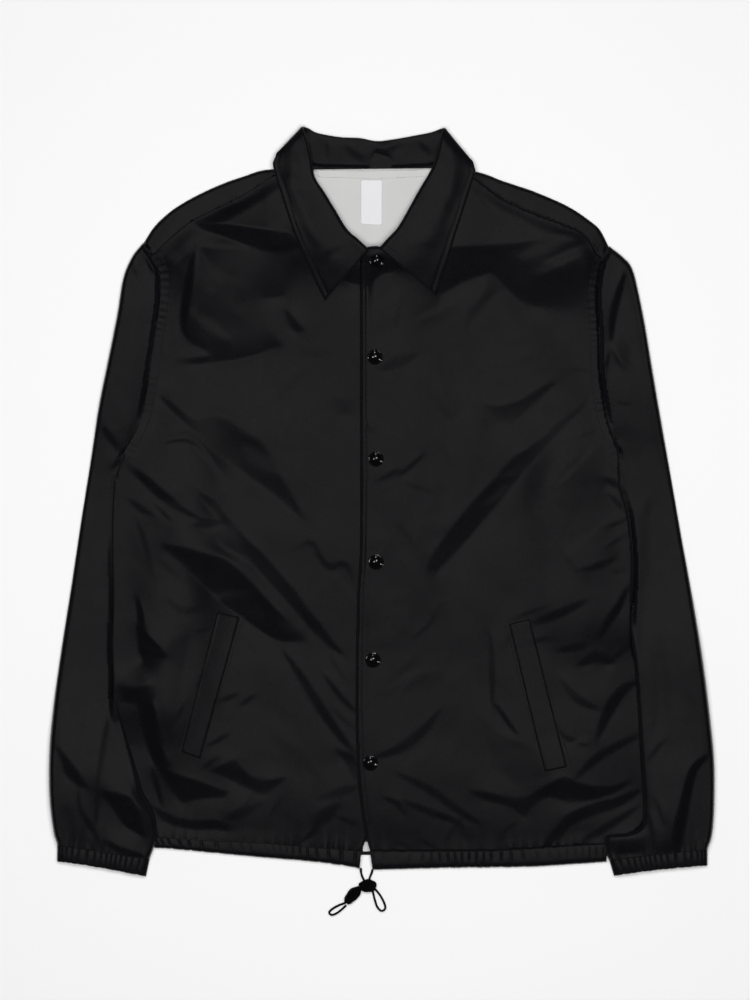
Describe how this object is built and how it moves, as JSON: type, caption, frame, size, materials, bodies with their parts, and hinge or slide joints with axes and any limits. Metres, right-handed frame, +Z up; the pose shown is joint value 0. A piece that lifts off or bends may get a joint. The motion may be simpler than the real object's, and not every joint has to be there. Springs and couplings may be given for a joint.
{
  "type": "coach jacket",
  "caption": "Black nylon coach jacket laid flat and snapped shut, with a pointed collar, slanted welt pockets, elastic cuffs and a drawcord hem.",
  "frame": {"origin": "on the surface that the jacket lies on, under the middle of the jacket's outline without its drawcord", "axes": "+Z up out of the front, +Y towards the collar, +X towards the wearer's left sleeve"},
  "size_m": [0.6856, 0.8142, 0.0121],
  "materials": {
    "black_nylon": "satin black nylon taffeta, soft sheen",
    "black_trim": "matte black braided cord",
    "pale_lining": "matte pale grey lining",
    "label_cloth": "smooth white woven label, bare",
    "snap_cap": "glossy black enamel"
  },
  "bodies": {
    "root": {"back": "black_nylon", "shoulder_right": "black_nylon", "shoulder_left": "black_nylon", "front_right": "black_nylon", "front_left": "black_nylon", "sleeve_right": "black_nylon", "sleeve_left": "black_nylon", "cuff_right": "black_nylon", "cuff_left": "black_nylon", "collar": "black_nylon", "hem_right": "black_nylon", "hem_left": "black_nylon", "hem_back": "black_nylon", "welt_right": "black_nylon", "welt_left": "black_nylon", "lining_back": "pale_lining", "neck_facing": "pale_lining", "label": "label_cloth", "snap_1": "snap_cap", "snap_2": "snap_cap", "snap_3": "snap_cap", "snap_4": "snap_cap", "snap_5": "snap_cap", "snap_6": "snap_cap", "drawcord_right": "black_trim", "drawcord_left": "black_trim", "loop_right": "black_trim", "loop_left": "black_trim", "knot_main": "black_trim", "knot_tail": "black_trim"}
  },
  "joints": []
}
